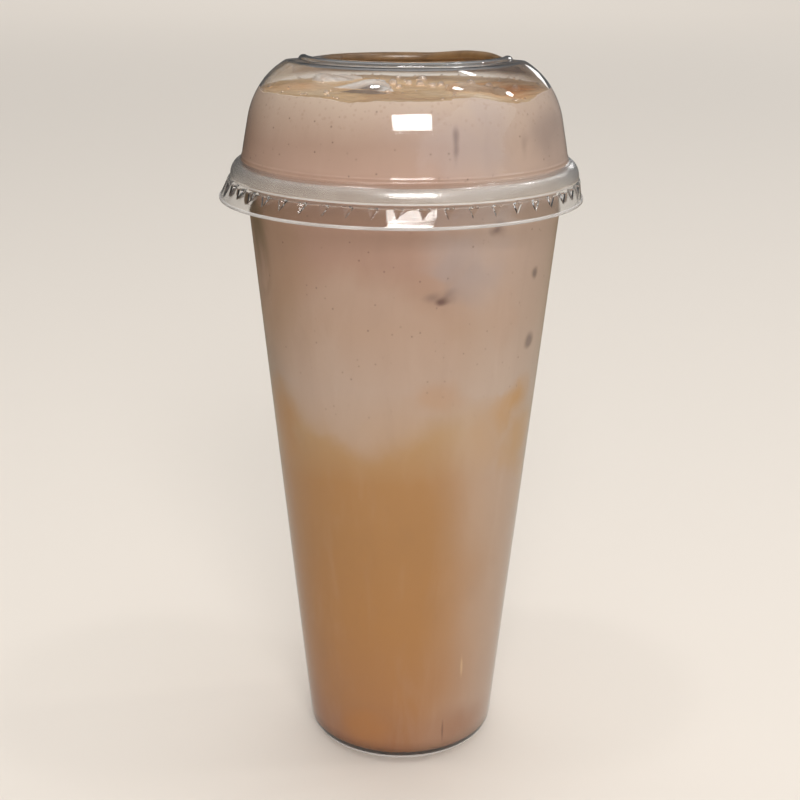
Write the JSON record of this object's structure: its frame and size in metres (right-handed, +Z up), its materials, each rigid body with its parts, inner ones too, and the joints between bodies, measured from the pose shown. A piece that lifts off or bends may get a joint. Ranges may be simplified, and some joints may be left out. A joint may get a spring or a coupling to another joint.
{
  "type": "bubble tea",
  "caption": "Tall clear takeaway cup of iced milk tea, brown at the bottom and milky on top, under a clear dome lid with an open drinking hole.",
  "frame": {"origin": "centre of the cup's foot on the table", "axes": "+Z up along the cup's axis, -Y towards the viewer"},
  "size_m": [0.1004, 0.1004, 0.2039],
  "materials": {
    "clear_cup": "clear, smooth",
    "clear_lid": "clear, smooth",
    "tea": "cloudy caramel brown liquid",
    "milk_tea": "milky, fine foam at the top",
    "ice": "wet, half melted"
  },
  "bodies": {
    "root": {"cup": "clear_cup", "lid": "clear_lid", "tea": "tea", "milk": "milk_tea", "ice_left": "ice", "ice_right": "ice", "ice_back": "ice"}
  },
  "joints": []
}
